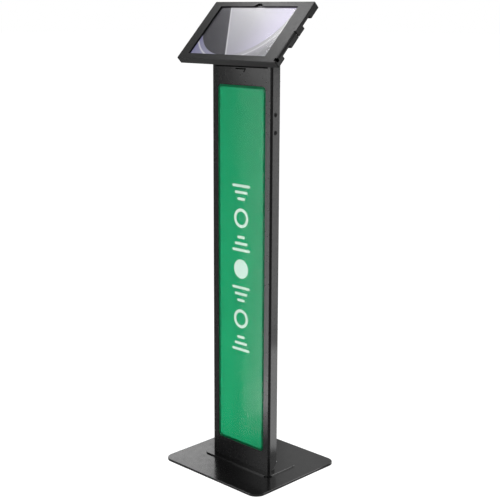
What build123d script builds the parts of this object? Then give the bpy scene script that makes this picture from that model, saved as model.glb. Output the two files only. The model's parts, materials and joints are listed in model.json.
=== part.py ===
"""Free-standing touchscreen kiosk: base plate, slim column with a graphic panel, and a tilted tablet head.

Millimetres, +Z up. The origin is the middle of the underside, X runs to the right of a person who
faces the screen, and the screen side is -Y. The head is drawn in its own frame: u along +X, v up the
slope of the screen, w out of the screen, with its zero at the lower edge of the face plate.
"""
from build123d import *
import math
import os

os.makedirs("parts", exist_ok=True)

# ---- Base -------------------------------------------------------------------------------------
MAT_T = 0.8                     # rubber sheet under the base
MAT_INSET = 3.0
BASE_W, BASE_D, BASE_T = 312.0, 275.0, 5.0
BASE_R = 25.0
FOOT_W, FOOT_D, FOOT_T = 215.0, 100.0, 3.0
FOOT_R = 15.0
BASE_Z = MAT_T
FOOT_Z = BASE_Z + BASE_T
FLOOR_Z = FOOT_Z + FOOT_T       # everything upright stands on this level
EDGE_BREAK = 0.5                # chamfer along the upper edges of plates
FOOT_BOLT_D = 6.0
FOOT_BOLT_XY = [(x, y) for x in (-60.0, 60.0) for y in (-17.0, 28.0)]

# ---- Column -----------------------------------------------------------------------------------
COL_W, COL_D, COL_R = 185.4, 28.0, 5.0
SHEET = 1.5                     # column, cover and cap sheet
COL_FRONT = -31.3
COL_BACK = COL_FRONT + COL_D
SHELL_BACK = COL_BACK - SHEET
RETURN_W = 10.0                 # inward returns of the shell along its back
SIDE_CUT_H = 16.0               # the side walls rise this much towards the back at the bottom
OUTLET_TOP = 45.0               # the rear cover starts here, above the cable outlet
POST_W, POST_D, POST_WALL = 18.0, 20.0, 1.5
POST_X = 72.0                   # inner face of each post
POST_Y = -17.0
POST_TOP = 930.0
SIDE_BOLT_Z = (800.0, 839.0)
SIDE_BOLT_Y = -18.6
SIDE_BOLT_D = 5.0
SIDE_BOLT_LEN = 24.5
SHELL_TOP = 1010.0              # before the sloping cut
COVER_SCREW_D, COVER_SCREW_LEN = 4.0, 3.5
COVER_SCREW_Z = (70.0, 350.0, 630.0, 910.0)
CLIP_Z = (180.0, 460.0, 720.0)  # cable clips behind the panel
CLIP_R, CLIP_BORE_R, CLIP_LEN, CLIP_PAD_T = 5.5, 4.0, 8.0, 1.5

# Locating hook of the bracket, which shows through a slot in the shell below the cap
HOOK_X, HOOK_Z, HOOK_LEN, HOOK_T = -2.0, 935.0, 30.0, 2.2
HOOK_TIP = (8.0, 928.6)
HOOK_BEND = (12.8, 935.0)
HOOK_SLOT = 3.0

# ---- Graphic panel ----------------------------------------------------------------------------
PANEL_W, PANEL_H, PANEL_R = 146.6, 843.9, 10.0
PANEL_Z = 54.8
PANEL_MID = PANEL_Z + PANEL_H / 2
REVEAL = 1.2                    # gap between the panel and the window in the column
COVER_T, TAPE_T, PRINT_T, BACKING_T = 3.0, 0.3, 0.2, 1.2
BACKING_LAP = 8.0
TAPE_W = 5.0                    # border of tape that holds the cover clear of the print

# ---- Tilted head ------------------------------------------------------------------------------
TILT = 45.0
HEAD_Y, HEAD_Z = -85.2, 955.6   # lower edge of the face plate
FACE_W, FACE_H = 303.6, 175.6
FACE_T, WALL_T = 2.0, 1.5
WALL_DEPTH = 16.2
CORNER_R = 3.0
WIN_LEFT, WIN_RIGHT, WIN_TOP, WIN_BOTTOM = 27.3, 39.4, 14.4, 15.8
CAM_NOTCH_TOP, CAM_NOTCH_FOOT, CAM_NOTCH_DEPTH = 11.5, 27.0, 8.0
U_OUT = FACE_W / 2
U_IN = U_OUT - WALL_T
WIN_U0, WIN_U1 = -U_OUT + WIN_LEFT, U_OUT - WIN_RIGHT
WIN_V0, WIN_V1 = WIN_BOTTOM, FACE_H - WIN_TOP
WIN_U, WIN_V = (WIN_U0 + WIN_U1) / 2, (WIN_V0 + WIN_V1) / 2
MID_V = FACE_H / 2

# Right-hand wall: two cable notches, a slit, and a separate cover below the slit
PORT_DEPTH, PORT_LEN = 8.0, 30.0
PORT_UPPER_V, PORT_LOWER_V = 112.0, 26.0
SLIT_V, SLIT_W = 87.8, 2.4
RIM_INSET = 5.0                 # the face plate stops this far short of the side cover
RIM_R = 4.0
CORNER_HOLE = 8.0               # square hole in the lower right corner
CORNER_HOLE_V = 4.5
TAB_V, TAB_HALF, TAB_REACH, TAB_T, TAB_SCREW_D = (40.0, 68.0), 6.0, 7.0, 1.2, 3.0
GAP = 0.3

# Depths behind the front of the face plate
GLASS_W = -3.0
GLASS_T, TABLET_T, PAD_T, CRADLE_T = 0.8, 5.7, 2.0, 1.2
TABLET_FRONT = GLASS_W - GLASS_T
TABLET_BACK = TABLET_FRONT - TABLET_T
CRADLE_FRONT = TABLET_BACK - PAD_T
CRADLE_BACK = CRADLE_FRONT - CRADLE_T
BACK_T = 2.0
BACK_W = -16.5                  # rear face of the back plate
BACK_IN = BACK_W + BACK_T
BACK_EDGE = 1.0                 # clearance between back plate and walls

# Tray behind the tablet: its lips leave the keys and the charging port free
CRADLE_SCREW_D, CRADLE_SCREW_U, CRADLE_SCREW_V = 3.0, 105.0, 62.0
SPACER_R, SPACER_BORE_R = 4.0, 1.6
LIP_DROP = 0.7                  # the lips end this far below the tablet's face
LIP_LEFT_V, LIP_LOW_U = (30.0, 132.0), (-112.0, 100.0)
LIPS_RIGHT_V = ((14.0, 62.0), (114.0, 162.0))
LIPS_TOP_U = ((-82.0, -26.0), (14.0, 100.0))
CRADLE_WINDOW = (110.0, 90.0)
PAD_SIZE = (40.0, 30.0)
PAD_U, PAD_V = 100.0, 36.0

# Tablet
TABLET_LEN, TABLET_H, TABLET_R = 256.0, 166.0, 9.0
TABLET_U0, TABLET_U1 = WIN_U - TABLET_LEN / 2, WIN_U + TABLET_LEN / 2
TABLET_V0, TABLET_V1 = WIN_V - TABLET_H / 2, WIN_V + TABLET_H / 2
DISPLAY_LEN, DISPLAY_H, DISPLAY_T = 237.5, 148.0, 0.6
DISPLAY_FRONT = TABLET_FRONT - 0.1
CAMERA_V = TABLET_V1 - 5.0
POWER_V, ROCKER_U = 148.0, -104.0
KEY_MID = TABLET_BACK + TABLET_T / 2
KEY_HALF, KEY_PROUD, KEY_ROOT = 1.1, 0.7, 2.2
POWER_HALF, ROCKER_HALF = 5.0, 10.0
PORT_HALF, PORT_HALF_T, PORT_IN = 4.5, 1.3, 7.0
CAMERA_R = 2.2

# Swivel
DISC_R, DISC_T = 60.0, 3.0
BOSS_R, BOSS_BORE = 15.0, 11.0
SWIVEL_GAP = 0.15
WASHER_R, WASHER_T = 33.0, 1.0
GROMMET_T = 2.0
SWIVEL_SCREW_D, SWIVEL_HOLE_R = 4.0, 2.1
PLATE_T = 3.0
DISC_BACK = BACK_W - DISC_T
PLATE_FRONT = DISC_BACK - SWIVEL_GAP - WASHER_T
PLATE_BACK = PLATE_FRONT - PLATE_T
PLATE_W, PLATE_H = 160.0, 90.0
NUT_R, NUT_T = 20.0, 3.5
SPRING_T = 0.6
VESA = 75.0
PIN_RING, PIN_D = 38.0, 4.0
CAP_W = -45.0                   # plane of the column's sloping top
CAP_T = 1.5
LIP_HALF, LIP_T, LIP_PLAY = 80.0, 1.2, 0.1
FRONT_LIP_LOW, BACK_LIP_LOW = 938.2, 958.0
LEAD_HOLE_Y, LEAD_HOLE_R = -13.0, 8.0

# Bracket between the posts and the swivel
BRACKET_LOW, WEB_TOP, WEB_T = 780.0, 950.0, 2.5
CHEEK_FRONT_TOP, CHEEK_BACK_TOP = 957.0, 975.0
CHEEK_V = (50.0, 125.0)         # how far up the swivel plate the cheeks reach
STOP_PLAY = 0.4

# Hinge on the left wall
HINGE_U, HINGE_W = -153.6, -18.0
KNUCKLE_R, HINGE_PIN_R = 2.2, 1.2
LEAF_T, LEAF_W = 1.2, 20.0
LEAF_RISE = 2.5                 # the moving leaf stops this far above the hinge line, between knuckles
HINGE_V0, KNUCKLE_LEN, KNUCKLES = 27.8, 24.0, 5
HINGE_LEN = KNUCKLES * KNUCKLE_LEN
HINGE_SCREW_D, HINGE_HOLE_R = 2.5, 1.3
HINGE_SCREW_U, HINGE_SCREW_W = HINGE_U + 16.0, -8.0
HINGE_SCREW_V = [HINGE_V0 + KNUCKLE_LEN * (i + 0.5) for i in range(KNUCKLES)]

# Cam lock behind the right-hand bay
LOCK_U, LOCK_V = 133.5, MID_V
LOCK_FLANGE_R, LOCK_BODY_R, PLUG_R = 9.0, 7.0, 4.5
LOCK_FLANGE_T = 2.0
LOCK_BODY_END = -12.0
CAM_T, CAM_LEN, CAM_WIDTH = 1.5, 15.0, 9.0
CAM_BACK = LOCK_BODY_END + GAP
CAM_SPIGOT_R, CAM_SCREW_D = 3.0, 2.0
LOCK_NUT_R, LOCK_NUT_T = 9.2, 2.2
KEYWAY_HALF, KEYWAY_DEPTH = (0.6, 3.2), 4.0
KEEPER_BACK = CAM_BACK + CAM_T + 0.5
KEEPER_LEN, KEEPER_REACH, KEEPER_NOSE = 11.0, 9.0, 6.0
KEEPER_T, KEEPER_LEG_T = 1.5, 1.2
RIVET_R, RIVET_HEAD_R = 1.0, 1.8

HEAD = Plane(origin=(0, HEAD_Y, HEAD_Z), x_dir=(1, 0, 0),
             z_dir=(0, -math.sin(math.radians(TILT)), math.cos(math.radians(TILT)))).location


# ---- Helpers ----------------------------------------------------------------------------------
def block(x, y, z):
    """Box between pairs of limits along X, Y and Z."""
    size = (x[1] - x[0], y[1] - y[0], z[1] - z[0])
    return Pos((x[0] + x[1]) / 2, (y[0] + y[1]) / 2, (z[0] + z[1]) / 2) * Box(*size)


def plate(mid, size, radius, z):
    """Flat plate with round corners, between two heights."""
    outline = Pos(mid[0], mid[1], z[0]) * RectangleRounded(size[0], size[1], radius)
    return extrude(outline, z[1] - z[0])


def disc(mid, radius, z):
    """Round solid along Z between two heights."""
    return Pos(mid[0], mid[1], (z[0] + z[1]) / 2) * Cylinder(radius, z[1] - z[0])


def ring(mid, outer, inner, z):
    return disc(mid, outer, z) - disc(mid, inner, (z[0] - 1, z[1] + 1))


def upright(mid_x, mid_z, size, radius, y):
    """Flat plate with round corners that stands in an XZ plane, between two Y values."""
    flat = plate((0, 0), size, radius, (0, y[1] - y[0]))
    return Pos(mid_x, y[1], mid_z) * Rot(90, 0, 0) * flat


def side_profile(points, x):
    """Outline given as (y, z) points, extruded between two X values."""
    outline = make_face(Polyline(*[(0, p[0], p[1]) for p in points], close=True))
    return Pos(x[0], 0, 0) * extrude(outline, x[1] - x[0], dir=(1, 0, 0))


def countersunk(d, length):
    """Flat-head socket screw: its head's top is at z=0 and its shank runs down."""
    head_h = d * 0.5
    head = Pos(0, 0, -head_h / 2) * Cone(d / 2, d, head_h)
    shank = disc((0, 0), d / 2, (-length, -head_h))
    socket = extrude(RegularPolygon(d * 0.3, 6), -d * 0.4)
    return head + shank - socket


def countersink(d, depth, play=0.15):
    """Cutter for a flat-head screw, a little larger than the screw."""
    head_h = d * 0.5
    head = Pos(0, 0, -head_h / 2) * Cone(d / 2 + play, d + play, head_h)
    mouth = disc((0, 0), d + play, (0, 1))
    return head + mouth + disc((0, 0), d / 2 + play, (-depth, -head_h + 0.01))


def pan_head(d, length):
    """Button-head screw: the underside of its head is at z=0."""
    head = disc((0, 0), d * 0.95, (0, d * 0.5))
    head = fillet(head.edges().group_by(Axis.Z)[-1], d * 0.3)
    socket = Pos(0, 0, d * 0.5) * extrude(RegularPolygon(d * 0.3, 6), -d * 0.3)
    return head + disc((0, 0), d / 2, (-length, 0)) - socket


def save(name, *solids):
    """Write one node, given in the kiosk's frame."""
    shape = solids[0] if len(solids) == 1 else Compound(children=list(solids))
    export_step(shape, f"parts/{name}.step")


def save_head(name, *solids):
    """Write one node that is drawn in the head's frame."""
    save(name, *[HEAD * s for s in solids])


def slope_limit(w, size=700.0):
    """Everything on the screen's side of a plane parallel to the screen, in the kiosk's frame."""
    return HEAD * Pos(0, 0, w + size / 2) * Box(size, size, size)


# ---- Base -------------------------------------------------------------------------------------
def base():
    save("floor_mat", plate((0, 0), (BASE_W - 2 * MAT_INSET, BASE_D - 2 * MAT_INSET),
                            BASE_R - MAT_INSET, (0, BASE_Z)))
    base_plate = plate((0, 0), (BASE_W, BASE_D), BASE_R, (BASE_Z, FOOT_Z))
    base_plate = chamfer(base_plate.edges().group_by(Axis.Z)[-1], EDGE_BREAK)
    foot_plate = plate((0, 0), (FOOT_W, FOOT_D), FOOT_R, (FOOT_Z, FLOOR_Z))
    foot_plate = chamfer(foot_plate.edges().group_by(Axis.Z)[-1], EDGE_BREAK)
    bolts = []
    for x, y in FOOT_BOLT_XY:
        place = Pos(x, y, BASE_Z) * Rot(180, 0, 0)
        cutter = place * countersink(FOOT_BOLT_D, BASE_T + FOOT_T + 1)
        base_plate -= cutter
        foot_plate -= cutter
        bolts.append(place * countersunk(FOOT_BOLT_D, BASE_T + FOOT_T - 0.2))
    save("base_plate", base_plate)
    save("foot_plate", foot_plate)
    save("foot_bolts", *bolts)


# ---- Column -----------------------------------------------------------------------------------
def side_bolt_places():
    """Where the shell's side bolts sit, head outwards, on both sides."""
    for side in (-1, 1):
        for z in SIDE_BOLT_Z:
            yield Pos(side * COL_W / 2, SIDE_BOLT_Y, z) * Rot(0, 90 * side, 0)


def side_bolt_holes(depth):
    return [place * countersink(SIDE_BOLT_D, depth) for place in side_bolt_places()]


def posts():
    """Two square tubes that carry the head and the shell."""
    for side, name in ((-1, "post_left"), (1, "post_right")):
        mid = side * (POST_X + POST_W / 2)
        outer = plate((mid, POST_Y), (POST_W, POST_D), 2.0, (FLOOR_Z, POST_TOP))
        inner = plate((mid, POST_Y), (POST_W - 2 * POST_WALL, POST_D - 2 * POST_WALL), 0.6,
                      (FLOOR_Z, POST_TOP))
        tube = outer - inner
        for hole in side_bolt_holes(COL_W / 2 - POST_X + 5):
            tube -= hole
        save(name, tube)


def hook_outline(width):
    """Bar with a hooked end, drawn flat with Z along Y."""
    bar = Pos(HOOK_X, HOOK_Z) * RectangleRounded(HOOK_LEN + width, width, width * 0.45)
    leg_foot, leg_head = Vector(*HOOK_TIP), Vector(*HOOK_BEND)
    along = leg_head - leg_foot
    leg = Pos((leg_foot.X + leg_head.X) / 2, (leg_foot.Y + leg_head.Y) / 2) \
        * Rot(0, 0, math.degrees(math.atan2(along.Y, along.X))) \
        * RectangleRounded(along.length + width, width, width * 0.45)
    return bar + leg


def hook_solid(width, y):
    flat = extrude(hook_outline(width), y[1] - y[0])
    return Pos(0, y[1], 0) * Rot(90, 0, 0) * flat


def column():
    mid_y = (COL_FRONT + SHELL_BACK) / 2
    depth = SHELL_BACK - COL_FRONT
    shell = block((-COL_W / 2, COL_W / 2), (COL_FRONT, SHELL_BACK), (FLOOR_Z, SHELL_TOP))
    shell = fillet(shell.edges().filter_by(Axis.Z).group_by(Axis.Y)[0], COL_R)
    shell = fillet(shell.edges().filter_by(Axis.Z).group_by(Axis.Y)[-1], 1.2)
    hollow = block((-COL_W / 2 + SHEET, COL_W / 2 - SHEET), (COL_FRONT + SHEET, SHELL_BACK - SHEET),
                   (FLOOR_Z - 1, SHELL_TOP + 1))
    hollow = fillet(hollow.edges().filter_by(Axis.Z).group_by(Axis.Y)[0], COL_R - SHEET)
    mouth_x = COL_W / 2 - RETURN_W
    shell -= hollow
    shell -= block((-mouth_x, mouth_x), (mid_y, SHELL_BACK + 1), (FLOOR_Z - 1, SHELL_TOP + 1))
    shell -= upright(0, PANEL_MID, (PANEL_W + 2 * REVEAL, PANEL_H + 2 * REVEAL), PANEL_R + REVEAL,
                     (COL_FRONT - 1, COL_FRONT + depth / 2))
    shell -= side_profile([(COL_FRONT + COL_R, FLOOR_Z - 1), (SHELL_BACK + 1, FLOOR_Z - 1),
                           (SHELL_BACK + 1, FLOOR_Z + SIDE_CUT_H)], (-COL_W / 2 - 1, COL_W / 2 + 1))
    shell -= hook_solid(HOOK_SLOT, (COL_FRONT - 1, COL_FRONT + SHEET + 1))
    shell -= slope_limit(CAP_W)
    cover = block((-COL_W / 2 + 1, COL_W / 2 - 1), (SHELL_BACK, COL_BACK), (OUTLET_TOP, SHELL_TOP))
    cover = chamfer(cover.edges().filter_by(Axis.Z).group_by(Axis.Y)[-1], EDGE_BREAK)
    cover -= slope_limit(CAP_W)
    for hole in side_bolt_holes(10.0):
        shell -= hole
    screws = []
    for x in (-COL_W / 2 + RETURN_W / 2 + 1, COL_W / 2 - RETURN_W / 2 - 1):
        for z in COVER_SCREW_Z:
            place = Pos(x, COL_BACK, z) * Rot(-90, 0, 0)
            bore = place * disc((0, 0), COVER_SCREW_D / 2 + 0.15, (-COVER_SCREW_LEN - 0.5, 1))
            shell -= bore
            cover -= bore
            screws.append(place * pan_head(COVER_SCREW_D, COVER_SCREW_LEN))
    save("column_shell", shell)
    save("rear_cover", cover)
    save("rear_cover_screws", *screws)
    save("side_bolts", *[place * countersunk(SIDE_BOLT_D, SIDE_BOLT_LEN) for place in side_bolt_places()])


def column_cap():
    """Sloping lid of the column with a lip over the front and one over the back."""
    half = COL_W / 2
    tall = (900.0, SHELL_TOP)
    slope = (CAP_W, CAP_W + CAP_T)
    front, back = COL_FRONT - LIP_PLAY, COL_BACK + LIP_PLAY
    lid = HEAD * block((-half, half), (0, 200), slope)
    lid = lid & block((-half, half), (COL_FRONT, COL_BACK), tall)
    lip_x = (-LIP_HALF, LIP_HALF)
    lips = block(lip_x, (front - LIP_T, front), (FRONT_LIP_LOW, SHELL_TOP))
    lips += block(lip_x, (back, back + LIP_T), (BACK_LIP_LOW, SHELL_TOP))
    lips -= slope_limit(CAP_W + CAP_T)
    bridge = HEAD * block(lip_x, (0, 200), slope)
    bridge = bridge & block(lip_x, (front - LIP_T, back + LIP_T), tall)
    cap = lid + lips + bridge
    for side in (-1, 1):
        mid = side * (POST_X - PLATE_T / 2)
        cap -= block((mid - PLATE_T / 2 - GAP, mid + PLATE_T / 2 + GAP),
                     (POST_Y - POST_D / 2 - 1.0, POST_Y + POST_D / 2 + 1.0), tall)
    cap -= block((-POST_X, POST_X), (COL_FRONT + 2, POST_Y - POST_D / 2 + 3.0), tall)
    cap -= disc((0, LEAD_HOLE_Y), LEAD_HOLE_R, tall)
    save("column_cap", cap)


def graphic_panel():
    front = COL_FRONT + SHEET
    lap = 2 * (REVEAL + BACKING_LAP)
    save("panel_backing", upright(0, PANEL_MID, (PANEL_W + lap, PANEL_H + lap), PANEL_R,
                                  (front, front + BACKING_T)))
    tape = upright(0, PANEL_MID, (PANEL_W, PANEL_H), PANEL_R, (front - TAPE_T, front))
    inside = upright(0, PANEL_MID, (PANEL_W - 2 * TAPE_W, PANEL_H - 2 * TAPE_W), PANEL_R - TAPE_W,
                     (front - TAPE_T - 1, front + 1))
    save("panel_tape", tape - inside)
    save("panel_print", upright(0, PANEL_MID, (PANEL_W - 2 * TAPE_W - 0.4, PANEL_H - 2 * TAPE_W - 0.4),
                                PANEL_R - TAPE_W, (front - PRINT_T, front)))
    back = front - TAPE_T
    cover = upright(0, PANEL_MID, (PANEL_W, PANEL_H), PANEL_R, (back - COVER_T, back))
    cover = chamfer(cover.edges().group_by(Axis.Y)[0], 0.8)
    save("panel_cover", cover)


def cable_clips():
    """Stick-on saddles that hold the lead behind the graphic panel."""
    back = COL_FRONT + SHEET + BACKING_T
    clips = []
    for z in CLIP_Z:
        pad = block((-10, 10), (back, back + CLIP_PAD_T), (z - CLIP_LEN, z + CLIP_LEN))
        loop = Cylinder(CLIP_R, CLIP_LEN) - Cylinder(CLIP_BORE_R, CLIP_LEN + 2)
        clips.append(pad + Pos(0, back + CLIP_R + 0.5, z) * loop)
    save("cable_clips", *clips)


def stop_slot():
    """Quarter-circle slot of the stop pin, about the swivel's axis."""
    reach, height = PIN_D / 2 + STOP_PLAY, PLATE_T + 4
    sweep = Cylinder(PIN_RING + reach, height) - Cylinder(PIN_RING - reach, height + 2)
    sweep = sweep & (Pos(PIN_RING, PIN_RING, 0) * Box(2 * PIN_RING, 2 * PIN_RING, height))
    ends = [Pos(PIN_RING, 0, 0), Pos(0, PIN_RING, 0)]
    return [sweep] + [end * Cylinder(reach, height) for end in ends]


def on_slope(v, w):
    """Y and Z of a point of the head's middle plane."""
    tilt = math.radians(TILT)
    ahead, rise = (math.cos(tilt), math.sin(tilt))
    return (HEAD_Y + v * ahead - w * rise, HEAD_Z + v * rise + w * ahead)


def head_bracket():
    """Welded bracket: two long cheeks in the column, a front web and the sloping swivel plate."""
    back_y, front_y = POST_Y + POST_D / 2 - 0.4, POST_Y - POST_D / 2
    plate_lo, plate_hi = [on_slope(v, PLATE_FRONT) for v in CHEEK_V]
    profile = [(front_y, BRACKET_LOW), (back_y, BRACKET_LOW), (back_y, CHEEK_BACK_TOP),
               plate_hi, plate_lo, (front_y, CHEEK_FRONT_TOP)]
    bracket = HEAD * plate((0, MID_V), (PLATE_W, PLATE_H), 8.0, (PLATE_BACK, PLATE_FRONT))
    for side in (-1, 1):
        x = sorted((side * POST_X, side * (POST_X - PLATE_T)))
        bracket += side_profile(profile, x) - slope_limit(PLATE_FRONT - 0.5)
    web_x = (-POST_X + PLATE_T, POST_X - PLATE_T)
    bracket += block(web_x, (front_y, front_y + WEB_T), (BRACKET_LOW, WEB_TOP))
    bracket -= HEAD * disc((0, MID_V), BOSS_R + GAP, (PLATE_BACK - 1, PLATE_FRONT + 1))
    for cutter in stop_slot():
        bracket -= HEAD * Pos(0, MID_V, (PLATE_BACK + PLATE_FRONT) / 2) * cutter
    for hole in side_bolt_holes(COL_W / 2 - POST_X + 5):
        bracket -= hole
    save("head_bracket", bracket)
    save("locating_hook", hook_solid(HOOK_T, (COL_FRONT - 0.5, front_y)))


# ---- Head -------------------------------------------------------------------------------------
def swivel():
    mid = (0, MID_V)
    pattern = [(u, MID_V + v) for u in (-VESA / 2, VESA / 2) for v in (-VESA / 2, VESA / 2)]
    boss_end = PLATE_BACK - GAP - SPRING_T - NUT_T - 0.8
    swivel_disc = disc(mid, DISC_R, (DISC_BACK, BACK_W))
    swivel_disc = chamfer(swivel_disc.edges().group_by(Axis.Z)[0], 0.5)
    swivel_disc += disc(mid, BOSS_R, (boss_end, DISC_BACK + 0.1))
    swivel_disc -= disc(mid, BOSS_BORE, (boss_end - 1, BACK_W + 1))
    for point in pattern:
        swivel_disc -= disc(point, SWIVEL_HOLE_R, (DISC_BACK - 1, BACK_W + 1))
    pin_at = (PIN_RING, MID_V)
    swivel_disc -= disc(pin_at, PIN_D / 2, (DISC_BACK - 1, BACK_W + 1))
    save_head("swivel_disc", swivel_disc)
    save_head("stop_pin", disc(pin_at, PIN_D / 2, (PLATE_BACK - 0.5, BACK_W)))
    save_head("swivel_washer", ring(mid, WASHER_R, BOSS_R + GAP, (PLATE_FRONT, PLATE_FRONT + WASHER_T)))
    spring_back = PLATE_BACK - GAP - SPRING_T
    save_head("spring_washer", ring(mid, NUT_R - 1, BOSS_R, (spring_back, PLATE_BACK - GAP)))
    nut = Pos(0, MID_V, spring_back - NUT_T) * extrude(RegularPolygon(NUT_R, 6), NUT_T)
    save_head("swivel_nut", nut - disc(mid, BOSS_R, (spring_back - NUT_T - 1, spring_back + 1)))
    grommet = ring(mid, BOSS_BORE, BOSS_BORE - GROMMET_T, (boss_end, BACK_IN))
    grommet += ring(mid, BOSS_BORE + GROMMET_T, BOSS_BORE - GROMMET_T, (BACK_IN, BACK_IN + 1.2))
    save_head("pivot_grommet", grommet)
    screws = [Pos(u, v, BACK_IN) * pan_head(SWIVEL_SCREW_D, BACK_T + DISC_T - 0.2) for u, v in pattern]
    save_head("swivel_screws", *screws)
    return pattern


def port_span(start):
    return (start, start + PORT_LEN)


def back_plate(pattern):
    edge = U_IN - BACK_EDGE
    v0, v1 = WALL_T + BACK_EDGE, FACE_H - WALL_T - BACK_EDGE
    body = plate((0, MID_V), (2 * edge, v1 - v0), 2.0, (BACK_W, BACK_IN))
    for point in pattern:
        body -= disc(point, SWIVEL_HOLE_R, (BACK_W - 1, BACK_IN + 1))
    body -= disc((0, MID_V), BOSS_BORE, (BACK_W - 1, BACK_IN + 1))
    body -= disc((LOCK_U, LOCK_V), LOCK_BODY_R, (BACK_W - 1, BACK_IN + 1))
    for start in (PORT_LOWER_V, PORT_UPPER_V):
        body -= block((edge - 7.5, edge + 1), port_span(start), (BACK_W - 1, BACK_IN + 1))
    for u, v in cradle_screw_points():
        body -= Pos(u, v, BACK_W) * Rot(180, 0, 0) * countersink(CRADLE_SCREW_D, 8.0, 0.05)
    for v in HINGE_SCREW_V[::2]:
        body -= disc((HINGE_SCREW_U, v), HINGE_HOLE_R, (BACK_W - 1, BACK_IN + 1))
    save_head("back_plate", body)


def cradle_screw_points():
    return [(WIN_U + u, MID_V + v) for u in (-CRADLE_SCREW_U, CRADLE_SCREW_U)
            for v in (-CRADLE_SCREW_V, CRADLE_SCREW_V)]


def cradle():
    """Folded tray that holds the tablet, with lips that leave its keys and its port free."""
    u0, u1 = TABLET_U0 - GAP - CRADLE_T, TABLET_U1 + GAP + CRADLE_T
    v0, v1 = TABLET_V0 - GAP - CRADLE_T, TABLET_V1 + GAP + CRADLE_T
    tray = plate(((u0 + u1) / 2, (v0 + v1) / 2), (u1 - u0, v1 - v0), 4.0, (CRADLE_BACK, CRADLE_FRONT))
    rise = (CRADLE_BACK, TABLET_FRONT - LIP_DROP)
    tray += block((u0, u0 + CRADLE_T), LIP_LEFT_V, rise)
    tray += block(LIP_LOW_U, (v0, v0 + CRADLE_T), rise)
    for span in LIPS_RIGHT_V:
        tray += block((u1 - CRADLE_T, u1), span, rise)
    for span in LIPS_TOP_U:
        tray += block(span, (v1 - CRADLE_T, v1), rise)
    tray -= plate((0, MID_V), CRADLE_WINDOW, 10.0, (CRADLE_BACK - 1, CRADLE_FRONT + 1))
    for u, v in cradle_screw_points():
        tray -= disc((u, v), CRADLE_SCREW_D / 2, (CRADLE_BACK - 1, CRADLE_FRONT + 1))
    save_head("tablet_cradle", tray)
    points = cradle_screw_points()
    save_head("cradle_spacers", *[ring(p, SPACER_R, SPACER_BORE_R, (BACK_IN, CRADLE_BACK)) for p in points])
    screw_len = CRADLE_FRONT - BACK_W
    place = [Pos(u, v, BACK_W) * Rot(180, 0, 0) for u, v in points]
    save_head("cradle_screws", *[p * countersunk(CRADLE_SCREW_D, screw_len) for p in place])
    pads = []
    for u in (WIN_U - PAD_U, WIN_U + PAD_U):
        for v in (WIN_V - PAD_V, WIN_V + PAD_V):
            pads.append(plate((u, v), PAD_SIZE, 3.0, (CRADLE_FRONT, TABLET_BACK)))
    save_head("foam_pads", *pads)


def tablet():
    key_pocket = 3.0
    display_depth = (DISPLAY_FRONT - DISPLAY_T, DISPLAY_FRONT)
    camera_low = TABLET_FRONT - 2.0
    body = plate((WIN_U, WIN_V), (TABLET_LEN, TABLET_H), TABLET_R, (TABLET_BACK, TABLET_FRONT))
    body = fillet(body.edges().group_by(Axis.Z)[0], 1.6)
    body -= plate((WIN_U, WIN_V), (DISPLAY_LEN, DISPLAY_H), 1.0, (display_depth[0], TABLET_FRONT + 1))
    slot = (KEY_MID - KEY_HALF - GAP, KEY_MID + KEY_HALF + GAP)
    body -= block((TABLET_U0 - 1, TABLET_U0 + key_pocket),
                  (POWER_V - POWER_HALF - GAP, POWER_V + POWER_HALF + GAP), slot)
    body -= block((ROCKER_U - ROCKER_HALF - GAP, ROCKER_U + ROCKER_HALF + GAP),
                  (TABLET_V1 - key_pocket, TABLET_V1 + 1), slot)
    body -= block((TABLET_U1 - PORT_IN, TABLET_U1 + 1), (WIN_V - PORT_HALF, WIN_V + PORT_HALF),
                  (KEY_MID - PORT_HALF_T, KEY_MID + PORT_HALF_T))
    body -= disc((WIN_U, CAMERA_V), CAMERA_R, (camera_low, TABLET_FRONT + 1))
    save_head("tablet_body", body)
    save_head("tablet_display", plate((WIN_U, WIN_V), (DISPLAY_LEN, DISPLAY_H), 1.0, display_depth))
    glass = plate((WIN_U, WIN_V), (TABLET_LEN - 1.0, TABLET_H - 1.0), TABLET_R - 0.5, (TABLET_FRONT, GLASS_W))
    save_head("tablet_glass", chamfer(glass.edges().group_by(Axis.Z)[-1], 0.3))
    save_head("tablet_camera", disc((WIN_U, CAMERA_V), CAMERA_R, (camera_low, DISPLAY_FRONT)))
    thick = (KEY_MID - KEY_HALF, KEY_MID + KEY_HALF)
    power = block((TABLET_U0 - KEY_PROUD, TABLET_U0 + KEY_ROOT),
                  (POWER_V - POWER_HALF, POWER_V + POWER_HALF), thick)
    save_head("power_button", fillet(power.edges().filter_by(Axis.X), 1.0))
    rocker = block((ROCKER_U - ROCKER_HALF, ROCKER_U + ROCKER_HALF),
                   (TABLET_V1 - KEY_ROOT, TABLET_V1 + KEY_PROUD), thick)
    save_head("volume_rocker", fillet(rocker.edges().filter_by(Axis.Y), 1.0))


def window_outline():
    """Screen opening with the camera's notch in the middle of its top edge."""
    opening = Pos(WIN_U, WIN_V) * RectangleRounded(WIN_U1 - WIN_U0, WIN_V1 - WIN_V0, 1.0)
    half_foot, half_top = CAM_NOTCH_FOOT / 2, CAM_NOTCH_TOP / 2
    foot, top = WIN_V1 - 0.5, WIN_V1 + CAM_NOTCH_DEPTH
    notch = Polyline((WIN_U - half_foot, foot), (WIN_U - half_top, top),
                     (WIN_U + half_top, top), (WIN_U + half_foot, foot), close=True)
    return opening + make_face(notch)


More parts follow.
